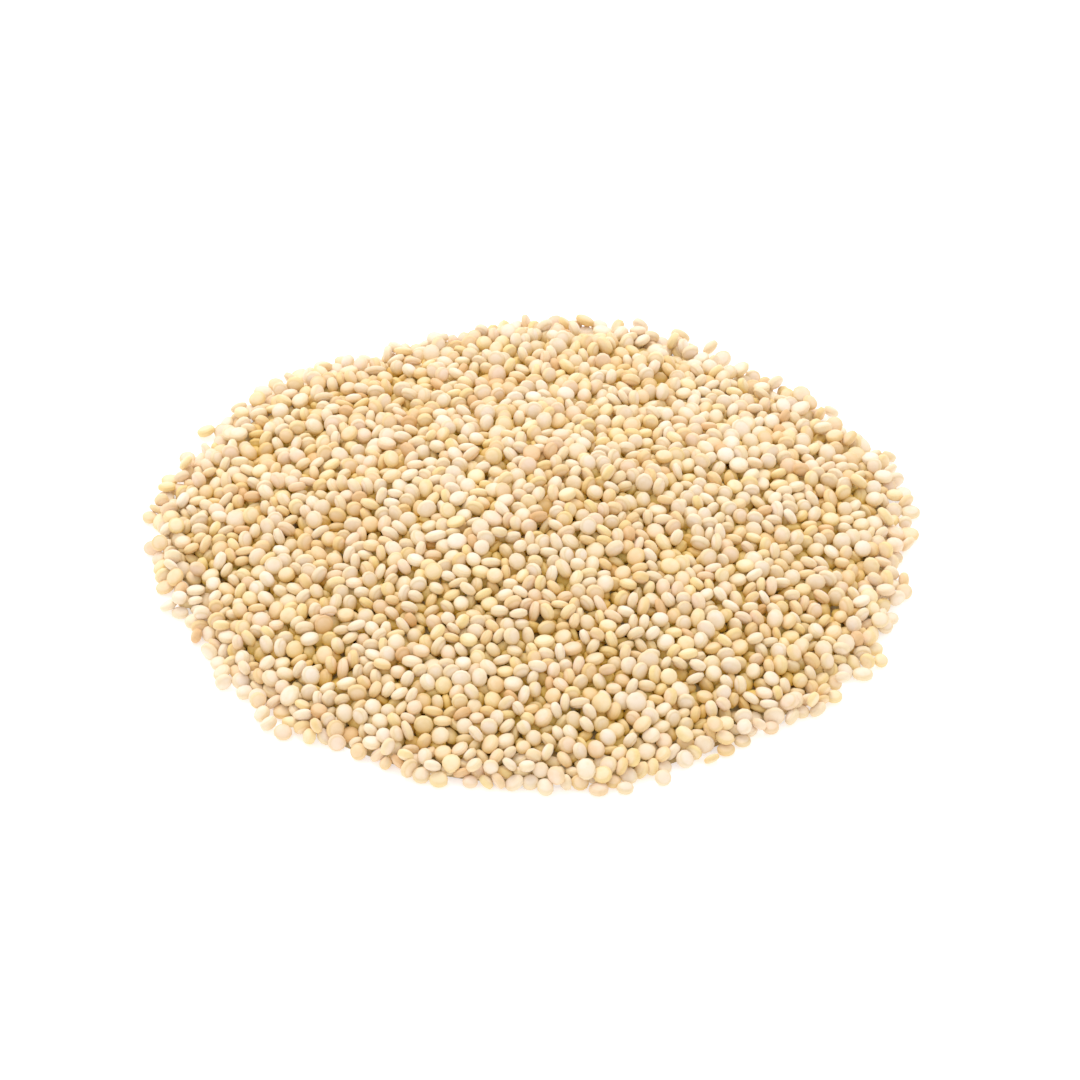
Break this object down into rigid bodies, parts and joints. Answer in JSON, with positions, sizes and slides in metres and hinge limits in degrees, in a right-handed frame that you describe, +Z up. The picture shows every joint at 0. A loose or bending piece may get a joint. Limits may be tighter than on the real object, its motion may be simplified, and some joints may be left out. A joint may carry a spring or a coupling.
{
  "type": "heap of raw white quinoa",
  "caption": "Low round heap of raw white quinoa grains lying bare on a flat surface, highest in the middle and one grain deep at its rim.",
  "frame": {"origin": "centre of the heap's flat base, on the surface it lies on", "axes": "+Z up, +X to the right and +Y away from the viewer of the picture"},
  "size_m": [0.0938, 0.0914, 0.0108],
  "materials": {
    "quinoa": "satin, dry seed coat, pale cream"
  },
  "bodies": {
    "root": {"quinoa_heap": "quinoa"}
  },
  "joints": []
}
